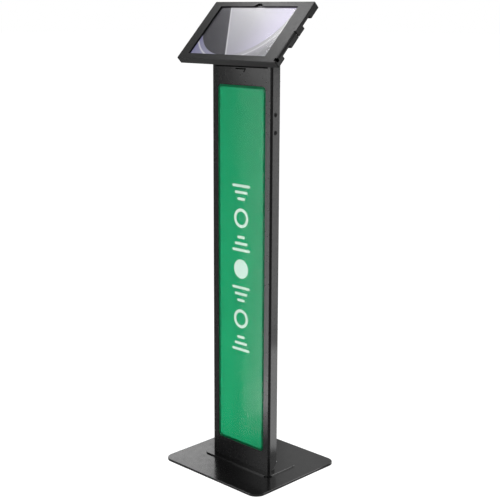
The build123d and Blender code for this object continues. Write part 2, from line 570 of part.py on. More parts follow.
def front_frame():
    depth = (-WALL_DEPTH, 0)
    frame = plate((0, MID_V), (FACE_W, FACE_H), CORNER_R, depth)
    frame = fillet(frame.edges().group_by(Axis.Z)[-1], 1.2)
    frame -= plate((0, MID_V), (2 * U_IN, FACE_H - 2 * WALL_T), CORNER_R - WALL_T,
                   (-WALL_DEPTH - 1, -FACE_T))
    frame -= extrude(Pos(0, 0, -FACE_T - 1) * window_outline(), FACE_T + 2)
    notch_w = (-WALL_DEPTH - 1, -WALL_DEPTH + PORT_DEPTH)
    frame -= block((U_IN - 1, U_OUT + 1), port_span(PORT_UPPER_V), notch_w)
    slit_top = SLIT_V + SLIT_W / 2
    cover_low = WALL_T + 0.5
    frame -= block((U_OUT - RIM_INSET, U_OUT + 1), (cover_low, slit_top), (-WALL_DEPTH - 1, 1))
    hole_v = (CORNER_HOLE_V, CORNER_HOLE_V + CORNER_HOLE)
    frame -= block((U_OUT - CORNER_HOLE, U_OUT + 1), hole_v, (-FACE_T - 1, 1))
    for v in HINGE_SCREW_V[1::2]:
        place = Pos(-U_OUT, v, HINGE_SCREW_W) * Rot(0, -90, 0)
        frame -= place * disc((0, 0), HINGE_HOLE_R, (-WALL_T - 1, 1))
    save_head("front_frame", frame)


def frame_gasket():
    """Foam strip between the face plate and the glass, open at the camera."""
    def around(edge, radius, depth):
        size = (WIN_U1 - WIN_U0 + 2 * edge, WIN_V1 - WIN_V0 + 2 * edge)
        return plate((WIN_U, WIN_V), size, radius, depth)
    gasket = around(9.0, 3.0, (GLASS_W + 0.05, -FACE_T)) - around(1.5, 1.5, (GLASS_W - 1, 0))
    gasket -= block((WIN_U - 15.0, WIN_U + 15.0), (WIN_V1 - 1, FACE_H), (GLASS_W - 1, 0))
    save_head("frame_gasket", gasket)


def port_cover():
    """Separate side piece below the slit: a wall with a rounded front rim and two fixing tabs."""
    v0, v1 = WALL_T + 0.7, SLIT_V - SLIT_W / 2
    rim_u = U_OUT - RIM_INSET + GAP
    solid = block((rim_u, U_OUT), (v0, v1), (-WALL_DEPTH, -0.2))
    solid = fillet(solid.edges().filter_by(Axis.Y).group_by(Axis.Z)[-1].sort_by(Axis.X)[-1], RIM_R)
    hollow = block((rim_u - 1, U_OUT - WALL_T), (v0 - 1, v1 + 1), (-WALL_DEPTH - 1, -0.2 - WALL_T))
    hollow = fillet(hollow.edges().filter_by(Axis.Y).group_by(Axis.Z)[-1].sort_by(Axis.X)[-1], RIM_R - WALL_T)
    cover = solid - hollow
    hole_v = (CORNER_HOLE_V, CORNER_HOLE_V + CORNER_HOLE)
    cover -= block((rim_u - 1, U_OUT + 1), hole_v, (-CORNER_HOLE + 1, 1))
    notch_w = (-WALL_DEPTH - 1, -WALL_DEPTH + PORT_DEPTH)
    cover -= block((U_IN - 1, U_OUT + 1), port_span(PORT_LOWER_V), notch_w)
    tab_front = -FACE_T - 0.1
    tab_back = tab_front - TAB_T
    screws = []
    for v in TAB_V:
        tab_v = (v - TAB_HALF, v + TAB_HALF)
        cover += block((rim_u - 2 * TAB_REACH, U_IN + 0.5), tab_v, (tab_back, tab_front))
        cover -= disc((rim_u - TAB_REACH, v), TAB_SCREW_D / 2 + 0.1, (tab_front - 3, tab_front + 1))
        place = Pos(rim_u - TAB_REACH, v, tab_back) * Rot(180, 0, 0)
        screws.append(place * pan_head(TAB_SCREW_D, TAB_T + 0.1))
    save_head("port_cover", cover)
    save_head("port_cover_screws", *screws)


def along_hinge(v0, v1, radius):
    return Pos(HINGE_U, (v0 + v1) / 2, HINGE_W) * Rot(90, 0, 0) * Cylinder(radius, v1 - v0)


def hinge():
    """Butt hinge along the left wall, with knuckles that alternate between its two leaves."""
    top = HINGE_V0 + HINGE_LEN
    fixed_w = (BACK_W - LEAF_T, BACK_W)
    fixed = block((HINGE_U + 3.0, HINGE_U + LEAF_W + 2.0), (HINGE_V0, top), fixed_w)
    moving_u = (-U_OUT - LEAF_T, -U_OUT)
    moving = block(moving_u, (HINGE_V0, top), (HINGE_W + LEAF_RISE, -3.0))
    for i in range(KNUCKLES):
        v0, v1 = HINGE_V0 + i * KNUCKLE_LEN + GAP / 2, HINGE_V0 + (i + 1) * KNUCKLE_LEN - GAP / 2
        barrel = along_hinge(v0, v1, KNUCKLE_R)
        if i % 2:
            moving += barrel + block(moving_u, (v0, v1), (HINGE_W, HINGE_W + LEAF_RISE + 0.1))
        else:
            fixed += barrel + block((HINGE_U + 1.0, HINGE_U + 3.1), (v0, v1), fixed_w)
    fixed_screws, moving_screws = [], []
    for v in HINGE_SCREW_V[::2]:
        place = Pos(HINGE_SCREW_U, v, BACK_W - LEAF_T) * Rot(180, 0, 0)
        fixed -= place * disc((0, 0), HINGE_HOLE_R, (-3, 1))
        fixed_screws.append(place * pan_head(HINGE_SCREW_D, LEAF_T + BACK_T - 0.2))
    for v in HINGE_SCREW_V[1::2]:
        place = Pos(-U_OUT - LEAF_T, v, HINGE_SCREW_W) * Rot(0, -90, 0)
        moving -= place * disc((0, 0), HINGE_HOLE_R, (-3, 1))
        moving_screws.append(place * pan_head(HINGE_SCREW_D, LEAF_T + WALL_T - 0.1))
    save_head("hinge_fixed_leaf", fixed - along_hinge(HINGE_V0 - 1, top + 1, HINGE_PIN_R))
    save_head("hinge_moving_leaf", moving - along_hinge(HINGE_V0 - 1, top + 1, HINGE_PIN_R + 0.05))
    save_head("hinge_pin", along_hinge(HINGE_V0 + 0.5, top - 0.5, HINGE_PIN_R))
    save_head("hinge_fixed_screws", *fixed_screws)
    save_head("hinge_moving_screws", *moving_screws)


def lock():
    """Cam lock, drawn unlocked: its cam points up the slope, clear of the keeper."""
    mid = (LOCK_U, LOCK_V)
    flange_back = BACK_W - LOCK_FLANGE_T
    body = disc(mid, LOCK_FLANGE_R, (flange_back, BACK_W))
    body = chamfer(body.edges().group_by(Axis.Z)[0], 0.6)
    body += disc(mid, LOCK_BODY_R, (BACK_W - 0.1, LOCK_BODY_END))
    body -= disc(mid, PLUG_R + GAP, (flange_back - 1, LOCK_BODY_END + 1))
    save_head("lock_body", body)
    nut = Pos(LOCK_U, LOCK_V, BACK_IN) * extrude(RegularPolygon(LOCK_NUT_R, 6), LOCK_NUT_T)
    save_head("lock_nut", nut - disc(mid, LOCK_BODY_R, (BACK_IN - 1, BACK_IN + LOCK_NUT_T + 1)))
    cam_w = (CAM_BACK, CAM_BACK + CAM_T)
    plug = disc(mid, PLUG_R, (flange_back + 0.2, CAM_BACK))
    plug += disc(mid, CAM_SPIGOT_R, (CAM_BACK - 0.1, cam_w[1]))
    keyway = [(centre - half, centre + half) for centre, half in zip(mid, KEYWAY_HALF)]
    plug -= block(*keyway, (flange_back - 1, flange_back + KEYWAY_DEPTH))
    plug -= disc(mid, CAM_SCREW_D / 2, (CAM_BACK - 3, cam_w[1] + 1))
    save_head("lock_plug", plug)
    cam = disc(mid, CAM_WIDTH / 2 + 1.0, cam_w)
    cam += block((LOCK_U - CAM_WIDTH / 2, LOCK_U + CAM_WIDTH / 2), (LOCK_V, LOCK_V + CAM_LEN), cam_w)
    save_head("lock_cam", cam - disc(mid, CAM_SPIGOT_R, (CAM_BACK - 1, cam_w[1] + 1)))
    save_head("cam_screw", Pos(LOCK_U, LOCK_V, cam_w[1]) * pan_head(CAM_SCREW_D, 4.0))


def keeper():
    """Angle inside the right-hand wall that the lock's cam catches."""
    low = LOCK_V + SLIT_W / 2 + 1.0
    high = low + KEEPER_LEN
    leg_in = U_IN - KEEPER_LEG_T
    piece = block((leg_in, U_IN), (low, high), (KEEPER_BACK, -FACE_T - 0.5))
    shelf_w = (KEEPER_BACK, KEEPER_BACK + KEEPER_T)
    piece += block((U_IN - KEEPER_REACH, U_IN), (low - KEEPER_NOSE, high), shelf_w)
    rivets = []
    for v in (low + 3.0, high - 3.0):
        place = Pos(leg_in, v, -5.0) * Rot(0, -90, 0)
        piece -= place * disc((0, 0), RIVET_R, (-2, 1))
        head = disc((0, 0), RIVET_HEAD_R, (0, 0.8))
        rivets.append(place * (head + disc((0, 0), RIVET_R, (-KEEPER_LEG_T, 0))))
    save_head("latch_keeper", piece)
    save_head("keeper_rivets", *rivets)


def main():
    base()
    posts()
    column()
    column_cap()
    graphic_panel()
    cable_clips()
    head_bracket()
    back_plate(swivel())
    cradle()
    tablet()
    front_frame()
    frame_gasket()
    port_cover()
    hinge()
    lock()
    keeper()


main()
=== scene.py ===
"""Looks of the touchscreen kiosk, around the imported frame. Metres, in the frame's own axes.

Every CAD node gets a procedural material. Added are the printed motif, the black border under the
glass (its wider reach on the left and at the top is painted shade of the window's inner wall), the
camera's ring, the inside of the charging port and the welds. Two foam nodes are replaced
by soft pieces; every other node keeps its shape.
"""
import json
import math

import bmesh
import bpy
from mathutils import Matrix, Vector


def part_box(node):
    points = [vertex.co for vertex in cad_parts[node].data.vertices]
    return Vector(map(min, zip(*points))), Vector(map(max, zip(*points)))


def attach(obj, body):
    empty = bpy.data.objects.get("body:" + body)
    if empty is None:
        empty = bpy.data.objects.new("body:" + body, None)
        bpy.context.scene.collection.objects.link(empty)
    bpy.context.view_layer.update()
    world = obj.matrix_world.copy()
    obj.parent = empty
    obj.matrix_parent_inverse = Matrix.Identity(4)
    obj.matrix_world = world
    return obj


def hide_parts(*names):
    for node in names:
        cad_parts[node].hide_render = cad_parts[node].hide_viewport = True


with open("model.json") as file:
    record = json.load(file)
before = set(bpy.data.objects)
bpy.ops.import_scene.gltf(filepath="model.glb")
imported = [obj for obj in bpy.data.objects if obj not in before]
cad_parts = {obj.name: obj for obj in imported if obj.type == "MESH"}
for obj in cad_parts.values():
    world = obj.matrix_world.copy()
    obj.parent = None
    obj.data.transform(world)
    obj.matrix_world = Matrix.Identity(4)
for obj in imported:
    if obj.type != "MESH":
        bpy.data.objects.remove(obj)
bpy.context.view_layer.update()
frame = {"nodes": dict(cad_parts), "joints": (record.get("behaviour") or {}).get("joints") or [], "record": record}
NODES = frame["nodes"]
JOINTS = {joint["name"]: joint for joint in frame["joints"]}

# ---- Head frame: u to the right, v up the slope of the screen, w out of the screen --------------
AXIS_U = Vector((1, 0, 0))
AXIS_V = -Vector(JOINTS["frame_hinge"]["axis"]).normalized()
AXIS_W = Vector(JOINTS["head_rotation"]["axis"]).normalized()
HEAD_TURN = Matrix((AXIS_U, AXIS_V, AXIS_W)).transposed()


def head_span(node):
    """Lowest and highest u, v and w of a CAD node."""
    turned = [HEAD_TURN.transposed() @ vertex.co for vertex in NODES[node].data.vertices]
    return [(min(p[i] for p in turned), max(p[i] for p in turned)) for i in range(3)]


def in_head(u, v, w):
    return HEAD_TURN @ Vector((u, v, w))


def middle(pair):
    return (pair[0] + pair[1]) / 2


# ---- View and light -----------------------------------------------------------------------------
CAMERA_AT = Vector((1.68727, -1.73024, 1.06194))
LOOK_AZIMUTH, LOOK_DOWN, ROLL = (math.radians(angle) for angle in (44.304, 12.613, 0.223))
LENS_MM, SENSOR_MM = 77.33, 36.0
FLOOR_HALF = 40.0
FLOOR_GREY = 0.35
# Radiance of the sky and of the floor as the object mirrors them, and watts of each softbox
LEVELS = {
    "sky": 0.37, "floor": 0.17, "front_strip": 3.0, "front_high": 0.26, "front_low": 0.06,
    "side_strip": 2.6, "side_low": 0.27, "base_left": 0.70, "base_right": 0.08, "face_top": 0.30,
    "face_left": 1.5, "face_right": 0.85, "rim": 0.8, "panel_fill": 9.0, "rear_wash": 18.0,
    "rear_head": 2.0,
}
FLOOR_SEEN = 0.90               # the floor's own glow where the camera looks at it
# name: (place, aim, (width, height))
SOFTBOXES = {
    "front_strip": ((-0.25, -0.49, 0.44), (0.41, 0.26, 0.94), (0.18, 0.94)),
    "front_high": ((-0.23, -0.40, 0.95), (0.06, -0.03, 0.97), (0.20, 0.14)),
    "front_low": ((-0.07, -0.19, 0.09), (0.03, -0.03, 0.16), (0.09, 0.14)),
    "side_strip": ((0.70, 0.63, 0.48), (0.09, 0.02, 0.48), (0.30, 0.88)),
    "side_low": ((0.20, 0.10, 0.13), (0.09, -0.01, 0.18), (0.09, 0.25)),
    "base_left": ((-1.17, 0.83, 0.60), (-0.11, -0.06, 0.0), (0.30, 0.40)),
    "base_right": ((-0.74, 1.10, 0.62), (0.13, 0.02, 0.0), (0.25, 0.40)),
    "rim": ((0.60, -0.17, 1.66), (0.15, -0.05, 1.00), (0.25, 0.25)),
    "face_top": ((-0.42, 0.16, 1.80), (0.13, 0.02, 1.06), (0.25, 0.25)),
    "face_left": ((-0.66, 0.16, 1.80), (-0.04, 0.03, 1.06), (0.25, 0.20)),
    "face_right": ((-0.34, -0.12, 1.63), (0.13, -0.05, 1.00), (0.20, 0.25)),
    "panel_fill": ((0.90, -2.60, 1.40), (0.0, 0.0, 0.70), (0.80, 0.80)),
    "rear_wash": ((0.30, 2.60, 1.30), (0.0, 0.0, 0.75), (1.40, 1.60)),
    "rear_head": ((0.15, 1.50, 0.50), (0.0, 0.05, 1.00), (0.60, 0.30)),
}


def make_camera():
    data = bpy.data.cameras.new("camera")
    data.lens = LENS_MM
    data.sensor_width = SENSOR_MM
    camera = bpy.data.objects.new("camera", data)
    level = Vector((math.cos(LOOK_AZIMUTH), math.sin(LOOK_AZIMUTH), 0))
    back = Vector((math.sin(LOOK_AZIMUTH) * math.cos(LOOK_DOWN),
                   -math.cos(LOOK_AZIMUTH) * math.cos(LOOK_DOWN), math.sin(LOOK_DOWN)))
    up = back.cross(level)
    right = level * math.cos(ROLL) + up * math.sin(ROLL)
    turn = Matrix((right, back.cross(right), back)).transposed()
    camera.matrix_world = Matrix.Translation(CAMERA_AT) @ turn.to_4x4()
    bpy.context.scene.collection.objects.link(camera)
    bpy.context.scene.camera = camera


def make_softboxes():
    for name, (place, aim, size) in SOFTBOXES.items():
        data = bpy.data.lights.new(name, "AREA")
        data.shape = "RECTANGLE"
        data.size, data.size_y = size
        data.energy = LEVELS[name]
        light = bpy.data.objects.new(name, data)
        light.location = place
        light.rotation_euler = (Vector(aim) - Vector(place)).to_track_quat("-Z", "Y").to_euler()
        light.visible_camera = False
        bpy.context.scene.collection.objects.link(light)


def make_world():
    """White behind the object, and a softer grey sky as the light around it."""
    world = bpy.data.worlds.new("studio")
    world.use_nodes = True
    tree = world.node_tree
    lit = tree.nodes["Background"]
    white = tree.nodes.new("ShaderNodeBackground")
    white.inputs["Strength"].default_value = 1.0
    white.inputs["Color"].default_value = (1, 1, 1, 1)
    lit.inputs["Color"].default_value = (1, 1, 1, 1)
    lit.inputs["Strength"].default_value = LEVELS["sky"]
    path = tree.nodes.new("ShaderNodeLightPath")
    mix = tree.nodes.new("ShaderNodeMixShader")
    tree.links.new(path.outputs["Is Camera Ray"], mix.inputs["Fac"])
    tree.links.new(lit.outputs["Background"], mix.inputs[1])
    tree.links.new(white.outputs["Background"], mix.inputs[2])
    tree.links.new(mix.outputs["Shader"], tree.nodes["World Output"].inputs["Surface"])
    bpy.context.scene.world = world
    bpy.context.scene.view_settings.view_transform = "Standard"


def make_floor():
    """Pale floor: white where the camera looks at it, and dim where the object mirrors it."""
    half = FLOOR_HALF
    mesh = bpy.data.meshes.new("floor")
    corners = [(-half, -half, 0), (half, -half, 0), (half, half, 0), (-half, half, 0)]
    mesh.from_pydata(corners, [], [(0, 1, 2, 3)])
    floor = bpy.data.objects.new("floor", mesh)
    bpy.context.scene.collection.objects.link(floor)
    material = bpy.data.materials.new("floor_white")
    material.use_nodes = True
    shader = material.node_tree.nodes["Principled BSDF"]
    shader.inputs["Base Color"].default_value = (FLOOR_GREY, FLOOR_GREY, FLOOR_GREY, 1)
    shader.inputs["Roughness"].default_value = 0.9
    shader.inputs["Specular IOR Level"].default_value = 0.0
    shader.inputs["Emission Color"].default_value = (1, 1, 1, 1)
    tree = material.node_tree
    path = tree.nodes.new("ShaderNodeLightPath")
    glow = tree.nodes.new("ShaderNodeMapRange")
    glow.inputs["To Min"].default_value = LEVELS["floor"]
    glow.inputs["To Max"].default_value = FLOOR_SEEN
    tree.links.new(path.outputs["Is Camera Ray"], glow.inputs["Value"])
    tree.links.new(glow.outputs["Result"], shader.inputs["Emission Strength"])
    mesh.materials.append(material)


# ---- Material kit -------------------------------------------------------------------------------
class Look:
    """One procedural material. Sizes and heights are in metres, in the object's own coordinates."""

    def __init__(self, name, **values):
        self.material = bpy.data.materials.new(name)
        self.material.use_nodes = True
        self.tree = self.material.node_tree
        self.shader = self.tree.nodes["Principled BSDF"]
        self.place = self.add("TexCoord").outputs["Object"]
        for key, value in values.items():
            self.set(key, value)

    def set(self, key, value):
        """A value or a socket on the shader. The key is the socket's name with _ for its spaces."""
        socket = self.shader.inputs[key.replace("_", " ")]
        if isinstance(value, bpy.types.NodeSocket):
            self.tree.links.new(value, socket)
        elif isinstance(value, tuple):
            socket.default_value = (*value, 1)
        else:
            socket.default_value = value

    def add(self, kind, inputs=(), **settings):
        node = self.tree.nodes.new("ShaderNode" + kind)
        for key, value in settings.items():
            setattr(node, key, value)
        for key, value in dict(inputs).items():
            if isinstance(value, bpy.types.NodeSocket):
                self.tree.links.new(value, node.inputs[key])
            elif value is not None:
                node.inputs[key].default_value = value
        return node

    def stretched(self, scale):
        return self.add("Mapping", {"Vector": self.place, "Scale": scale}).outputs["Vector"]

    def noise(self, size, detail=2.0, at=None, roughness=0.5):
        """Soft noise whose patches are about that size."""
        inputs = {"Vector": at or self.place, "Scale": 1.0 / size, "Detail": detail,
                  "Roughness": roughness}
        return self.add("TexNoise", inputs).outputs["Fac"]

    def cells(self, size, at=None):
        inputs = {"Vector": at or self.place, "Scale": 1.0 / size}
        return self.add("TexVoronoi", inputs).outputs["Distance"]

    def dot(self, axis, at=None):
        """Distance along an axis."""
        inputs = {0: at or self.place, 1: tuple(axis)}
        return self.add("VectorMath", inputs, operation="DOT_PRODUCT").outputs["Value"]

    def offset(self, centre):
        """Vector from a fixed point."""
        node = self.add("VectorMath", {0: self.place, 1: tuple(centre)}, operation="SUBTRACT")
        return node.outputs["Vector"]

    def maths(self, operation, first, second=None, third=None, clamp=False):
        inputs = {0: first, 1: second, 2: third}
        node = self.add("Math", inputs, operation=operation, use_clamp=clamp)
        return node.outputs["Value"]

    def span(self, value, low, high, to_low=0.0, to_high=1.0, smooth=False):
        kind = "SMOOTHSTEP" if smooth else "LINEAR"
        inputs = {"Value": value, "From Min": low, "From Max": high, "To Min": to_low,
                  "To Max": to_high}
        return self.add("MapRange", inputs, interpolation_type=kind).outputs["Result"]

    def near(self, value, mid, reach, peak, smooth=False):
        """The peak where the value is mid, falling to 0 at that reach from it."""
        away = self.maths("ABSOLUTE", self.maths("SUBTRACT", value, mid))
        return self.span(away, 0.0, reach, peak, 0.0, smooth=smooth)

    def mix(self, share, first, second):
        node = self.add("Mix", {0: share}, data_type="RGBA")
        for socket, value in ((node.inputs[6], first), (node.inputs[7], second)):
            if isinstance(value, bpy.types.NodeSocket):
                self.tree.links.new(value, socket)
            else:
                socket.default_value = (*value, 1)
        return node.outputs[2]

    def bump(self, *layers):
        """Stacks height fields: each layer is (height from 0 to 1, its depth)."""
        normal = None
        for height, depth in layers:
            inputs = {"Height": height, "Distance": depth, "Strength": 1.0, "Normal": normal}
            normal = self.add("Bump", inputs).outputs["Normal"]
        self.set("Normal", normal)


def tone(colour, factor):
    return tuple(min(channel * factor, 1.0) for channel in colour)


def powder(name, colour, roughness, grain, depth, specular=0.5, flecks=0.12):
    """Powder coat: a fine grain over a slower orange peel, with faint flecks in its colour."""
    look = Look(name, Specular_IOR_Level=specular)
    fine = look.noise(grain, detail=3.0, roughness=0.6)
    peel = look.noise(grain * 5, detail=1.0)
    cloud = look.noise(0.12, detail=2.0)
    base = look.mix(look.span(cloud, 0.3, 0.7), tone(colour, 0.92), tone(colour, 1.08))
    speck = look.span(fine, 0.35, 0.65, 1 - flecks, 1 + flecks)
    graded = look.add("VectorMath", {0: base, "Scale": speck}, operation="SCALE").outputs["Vector"]
    look.set("Base_Color", graded)
    look.set("Roughness", look.span(peel, 0.2, 0.8, roughness - 0.03, roughness + 0.04))
    look.bump((peel, depth * 1.5), (fine, depth))
    return look.material


def zinc_plate(name):
    look = Look(name, Metallic=1.0)
    spangle = look.cells(0.0016)
    haze = look.noise(0.006, detail=3.0)
    share = look.span(haze, 0.35, 0.65)
    look.set("Base_Color", look.mix(share, (0.60, 0.61, 0.62), (0.66, 0.64, 0.58)))
    look.set("Roughness", look.span(spangle, 0.0, 0.8, 0.24, 0.42))
    look.bump((look.noise(0.0005, detail=3.0), 0.000008), (spangle, 0.000006))
    return look.material


def black_oxide(name):
    look = Look(name, Metallic=0.5, Specular_IOR_Level=0.2)
    mottle = look.noise(0.0012, detail=4.0)
    share = look.span(mottle, 0.35, 0.7)
    look.set("Base_Color", look.mix(share, (0.004, 0.004, 0.005), (0.012, 0.012, 0.012)))
    look.set("Roughness", look.span(mottle, 0.3, 0.7, 0.42, 0.6))
    look.bump((look.noise(0.0004, detail=2.0), 0.00001))
    return look.material


def rubber(name, rib=None):
    look = Look(name, Specular_IOR_Level=0.3)
    dust = look.noise(0.02, detail=4.0)
    share = look.span(dust, 0.4, 0.75)
    look.set("Base_Color", look.mix(share, (0.014, 0.014, 0.014), (0.030, 0.029, 0.028)))
    look.set("Roughness", look.span(dust, 0.3, 0.7, 0.68, 0.85))
    layers = [(look.noise(0.0007, detail=3.0), 0.00003)]
    if rib:
        wave = look.maths("SINE", look.maths("MULTIPLY", look.dot(AXIS_U), 2 * math.pi / rib))
        layers.insert(0, (look.span(wave, -1.0, 1.0), 0.0002))
    look.bump(*layers)
    return look.material


def foam(name):
    look = Look(name, Specular_IOR_Level=0.2, Sheen_Weight=0.25)
    cell = look.cells(0.0008)
    share = look.span(cell, 0.1, 0.7)
    look.set("Base_Color", look.mix(share, (0.010, 0.010, 0.011), (0.035, 0.035, 0.036)))
    look.set("Roughness", look.span(cell, 0.0, 0.8, 0.95, 0.8))
    look.bump((cell, 0.00015))
    return look.material


def nylon(name):
    look = Look(name, Subsurface_Weight=0.15, Specular_IOR_Level=0.45)
    flow = look.noise(0.004, detail=2.0, at=look.stretched((1, 1, 0.25)))
    look.set("Base_Color", look.mix(flow, (0.72, 0.72, 0.68), (0.80, 0.79, 0.75)))
    look.set("Roughness", look.span(flow, 0.3, 0.7, 0.42, 0.55))
    look.bump((look.noise(0.0006, detail=2.0), 0.00002))
    return look.material


def clear_plastic(name):
    """Anti-glare acrylic cover: clear, with a faint green cast and a trace of handling haze."""
    look = Look(name, Transmission_Weight=1.0, IOR=1.12, Base_Color=(0.95, 0.99, 0.97))
    haze = look.noise(0.05, detail=5.0)
    look.set("Roughness", look.span(haze, 0.35, 0.75, 0.10, 0.16))
    return look.material


def screen_glass(name):
    look = Look(name, Transmission_Weight=1.0, IOR=1.04, Base_Color=(0.98, 0.98, 0.98))
    smear = look.noise(0.03, detail=4.0, at=look.stretched((1.0, 0.35, 0.35)))
    look.set("Roughness", look.span(smear, 0.5, 0.8, 0.005, 0.05))
    return look.material


PRINT_GREEN = (0.005, 0.240, 0.098)


def printed(name, colour, streak=0.04):
    """Solvent print on film: a faint dot screen and soft vertical banding."""
    look = Look(name, Specular_IOR_Level=0.06)
    band = look.noise(0.012, detail=2.0, at=look.stretched((1.0, 1.0, 0.01)))
    dots = look.cells(0.0006)
    base = look.mix(look.span(band, 0.3, 0.7), tone(colour, 1 - streak), tone(colour, 1 + streak))
    speck = look.span(dots, 0.1, 0.6, 0.98, 1.02)
    graded = look.add("VectorMath", {0: base, "Scale": speck}, operation="SCALE").outputs["Vector"]
    look.set("Base_Color", graded)
    look.set("Roughness", look.span(look.noise(0.004), 0.3, 0.7, 0.38, 0.48))
    look.bump((dots, 0.000004))
    return look.material


def brushed_aluminium(name, roughness=0.35, lines=True):
    look = Look(name, Metallic=1.0)
    at = look.stretched((1.0, 1.0, 0.02)) if lines else None
    brush = look.noise(0.0006, detail=3.0, at=at)
    share = look.span(brush, 0.3, 0.7)
    look.set("Base_Color", look.mix(share, (0.56, 0.57, 0.58), (0.64, 0.64, 0.64)))
    look.set("Roughness", look.span(brush, 0.3, 0.7, roughness - 0.06, roughness + 0.08))
    look.bump((brush, 0.000006))
    return look.material


def blasted_shell(name):
    look = Look(name, Metallic=1.0)
    bead = look.noise(0.0003, detail=2.0)
    cloud = look.noise(0.05)
    look.set("Base_Color", look.mix(cloud, (0.30, 0.31, 0.33), (0.36, 0.37, 0.385)))
    look.set("Roughness", look.span(bead, 0.3, 0.7, 0.38, 0.5))
    look.bump((bead, 0.00001))
    return look.material


RING_PITCH = 0.00025


def chrome(name, centre):
    """Turned and plated: fine rings about the lock's axis."""
    look = Look(name, Metallic=1.0)
    offset = look.offset(centre)
    across = look.maths("POWER", look.dot(AXIS_U, offset), 2.0)
    up = look.maths("POWER", look.dot(AXIS_V, offset), 2.0)
    radius = look.maths("SQRT", look.maths("ADD", across, up))
    rings = look.maths("SINE", look.maths("MULTIPLY", radius, 2 * math.pi / RING_PITCH))
    film = look.noise(0.003, detail=3.0)
    look.set("Base_Color", look.mix(film, (0.74, 0.75, 0.77), (0.82, 0.82, 0.81)))
    look.set("Roughness", look.span(film, 0.3, 0.7, 0.07, 0.2))
    look.bump((look.span(rings, -1.0, 1.0), 0.000003))
    return look.material


def lens_look(name, centre):
    """Camera under black glass: a dark violet pupil inside thin rings."""
    look = Look(name, Coat_Weight=1.0, Coat_Roughness=0.03)
    offset = look.offset(centre)
    radius = look.add("VectorMath", {0: offset}, operation="LENGTH").outputs["Value"]
    pupil = look.span(radius, 0.0007, 0.0009)
    rim = look.span(radius, 0.0015, 0.0017)
    inner = look.mix(pupil, (0.030, 0.012, 0.060), (0.006, 0.006, 0.008))
    look.set("Base_Color", look.mix(rim, inner, (0.022, 0.022, 0.024)))
    look.set("Roughness", look.span(look.noise(0.0004), 0.3, 0.7, 0.12, 0.25))
    return look.material


def display_look(name):
    """Lit screen with a plain abstract picture: a broad arc, a slanted edge and soft greys."""
    look = Look(name, Base_Color=(0.004, 0.004, 0.005), Roughness=0.25, Emission_Strength=0.74)
    (u0, u1), (v0, v1), _ = head_span("tablet_display")
    a = look.span(look.dot(AXIS_U), u0, u1)
    b = look.span(look.dot(AXIS_V), v0, v1)
    # Oval whose rim is at 1
    wide = look.maths("POWER", look.maths("DIVIDE", look.maths("SUBTRACT", a, 0.44), 0.535), 2.0)
    tall = look.maths("POWER", look.maths("DIVIDE", look.maths("SUBTRACT", b, 0.93), 0.915), 2.0)
    oval = look.maths("ADD", wide, tall)
    edge = look.maths("ADD", look.maths("MULTIPLY", b, 0.36), a)
    dark = look.mix(look.span(edge, 0.0, 0.48), (0.034, 0.034, 0.040), (0.076, 0.074, 0.086))
    pale = look.mix(look.span(b, 0.0, 1.0), (0.450, 0.442, 0.500), (0.645, 0.638, 0.680))
    violet = look.mix(look.span(a, 0.45, 0.95, smooth=True), pale, (0.640, 0.600, 0.780))
    inside = look.mix(look.span(edge, 0.480, 0.486), dark, violet)
    glint = look.near(edge, 0.492, 0.012, 0.8)
    inside = look.mix(glint, inside, (0.86, 0.86, 0.88))
    left = look.mix(look.span(a, 0.0, 0.45), (0.230, 0.225, 0.380), (0.420, 0.420, 0.500))
    fall = look.span(oval, 1.05, 1.65, smooth=True)
    right = look.mix(fall, (0.480, 0.474, 0.510), (0.225, 0.222, 0.245))
    outside = look.mix(look.span(a, 0.38, 0.52, smooth=True), left, right)
    ridge = look.near(oval, 1.17, 0.05, 0.8, smooth=True)
    outside = look.mix(ridge, outside, (0.80, 0.79, 0.84))
    picture = look.mix(look.span(oval, 0.985, 1.0), inside, outside)
    rim = look.near(oval, 0.995, 0.018, 0.55)
    picture = look.mix(rim, picture, (0.30, 0.295, 0.36))
    look.set("Emission_Color", picture)
    return look.material


# ---- Mesh kit -----------------------------------------------------------------------------------
def add_piece(name, mesh, material, body, smooth=False):
    piece = bpy.data.objects.new(name, mesh)
    bpy.context.scene.collection.objects.link(piece)
    mesh.materials.append(material)
    for face in mesh.polygons:
        face.use_smooth = smooth
    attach(piece, body)
    return piece


def to_mesh(name, builder):
    bm = bmesh.new()
    builder(bm)
    bmesh.ops.remove_doubles(bm, verts=bm.verts, dist=1e-7)
    bmesh.ops.recalc_face_normals(bm, faces=bm.faces)
    mesh = bpy.data.meshes.new(name)
    bm.to_mesh(mesh)
    bm.free()
    return mesh


def prism(bm, outline, lift):
    """Closed solid from a flat outline of points and the vector of its thickness."""
    low = [bm.verts.new(p) for p in outline]
    high = [bm.verts.new(Vector(p) + lift) for p in outline]
    count = len(outline)
    bm.faces.new(low)
    bm.faces.new(list(reversed(high)))
    for i in range(count):
        j = (i + 1) % count
        bm.faces.new((low[j], low[i], high[i], high[j]))


def band(bm, outer, inner, lift):
    """Closed ring between two outlines with the same number of points."""
    loops = [[bm.verts.new(Vector(p) + shift) for p in points]
             for points in (outer, inner) for shift in (Vector(), lift)]
    out_low, out_high, in_low, in_high = loops
    count = len(outer)
    for i in range(count):
        j = (i + 1) % count
        bm.faces.new((out_low[i], out_low[j], out_high[j], out_high[i]))
        bm.faces.new((in_low[j], in_low[i], in_high[i], in_high[j]))
        bm.faces.new((out_high[i], out_high[j], in_high[j], in_high[i]))
        bm.faces.new((out_low[j], out_low[i], in_low[i], in_low[j]))


